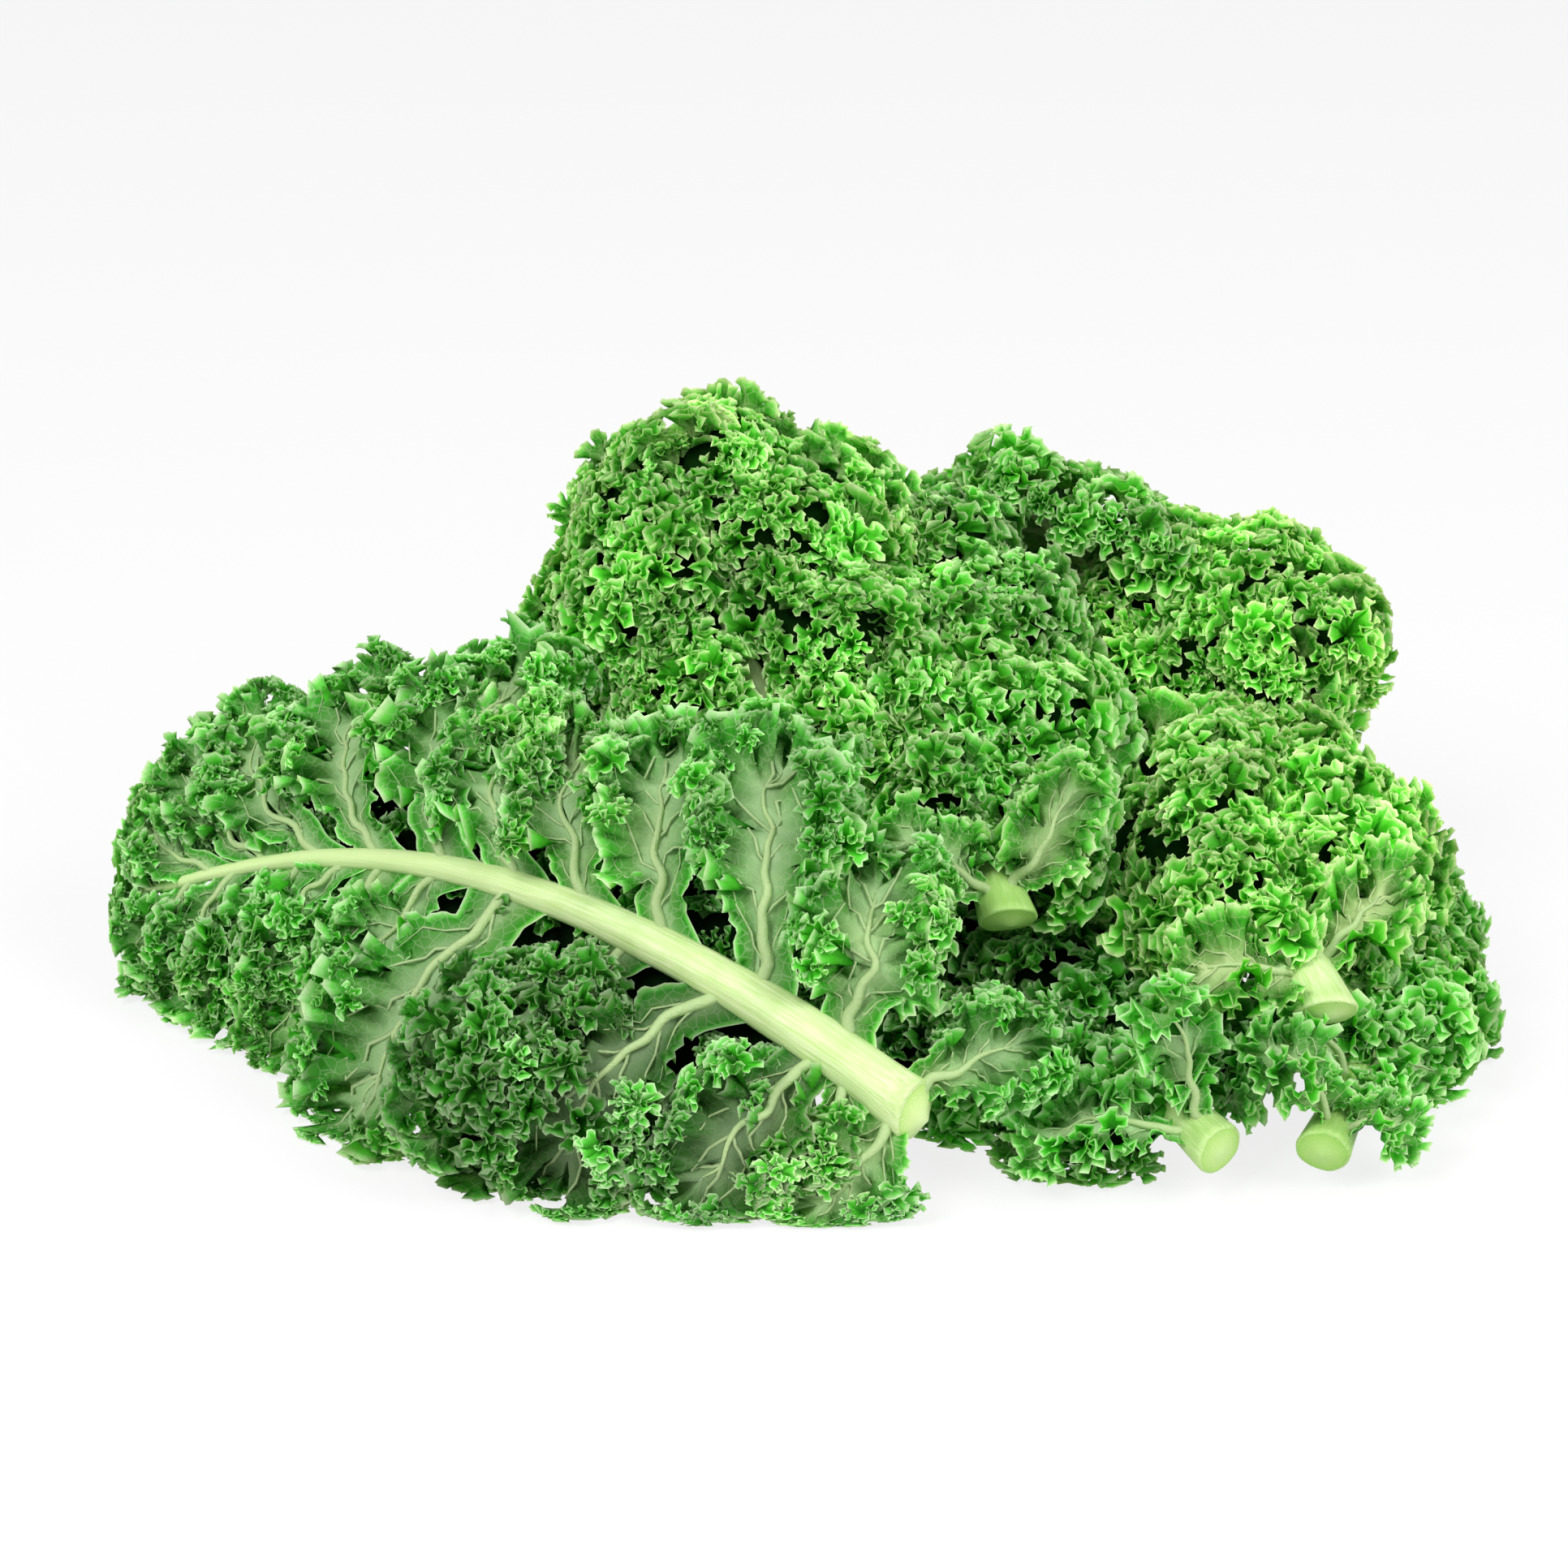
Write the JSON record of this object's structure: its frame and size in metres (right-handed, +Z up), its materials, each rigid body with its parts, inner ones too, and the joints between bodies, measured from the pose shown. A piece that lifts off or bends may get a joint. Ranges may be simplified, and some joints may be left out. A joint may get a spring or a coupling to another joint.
{
  "type": "kale bunch",
  "caption": "Curly kale leaves lying in a loose heap, frilled blades on thick pale stalks, one leaf in front face down with its midrib and veins showing.",
  "frame": {"origin": "middle of the heap's footprint, on the surface that it lies on", "axes": "+Z up, away from that surface; +X along the heap, from the tip of the front leaf towards the cut ends of the stalks; -Y is the side where the face-down front leaf and the cut stalks show"},
  "size_m": [0.407, 0.262, 0.1713],
  "materials": {
    "stalk": "satin",
    "underside": "matte",
    "blade": "satin"
  },
  "bodies": {
    "root": {"front_leaf_stalk": "stalk", "front_leaf_blade": "underside", "under_leaf_stalk": "stalk", "under_leaf_blade": "blade", "tall_leaf_stalk": "stalk", "tall_leaf_blade": "blade", "centre_leaf_stalk": "stalk", "centre_leaf_blade": "blade", "right_leaf_stalk": "stalk", "right_leaf_blade": "blade", "ridge_leaf_stalk": "stalk", "ridge_leaf_blade": "blade", "back_leaf_stalk": "stalk", "back_leaf_blade": "blade", "rear_leaf_stalk": "stalk", "rear_leaf_blade": "blade", "low_leaf_stalk": "stalk", "low_leaf_blade": "blade", "side_leaf_stalk": "stalk", "side_leaf_blade": "blade"}
  },
  "joints": []
}
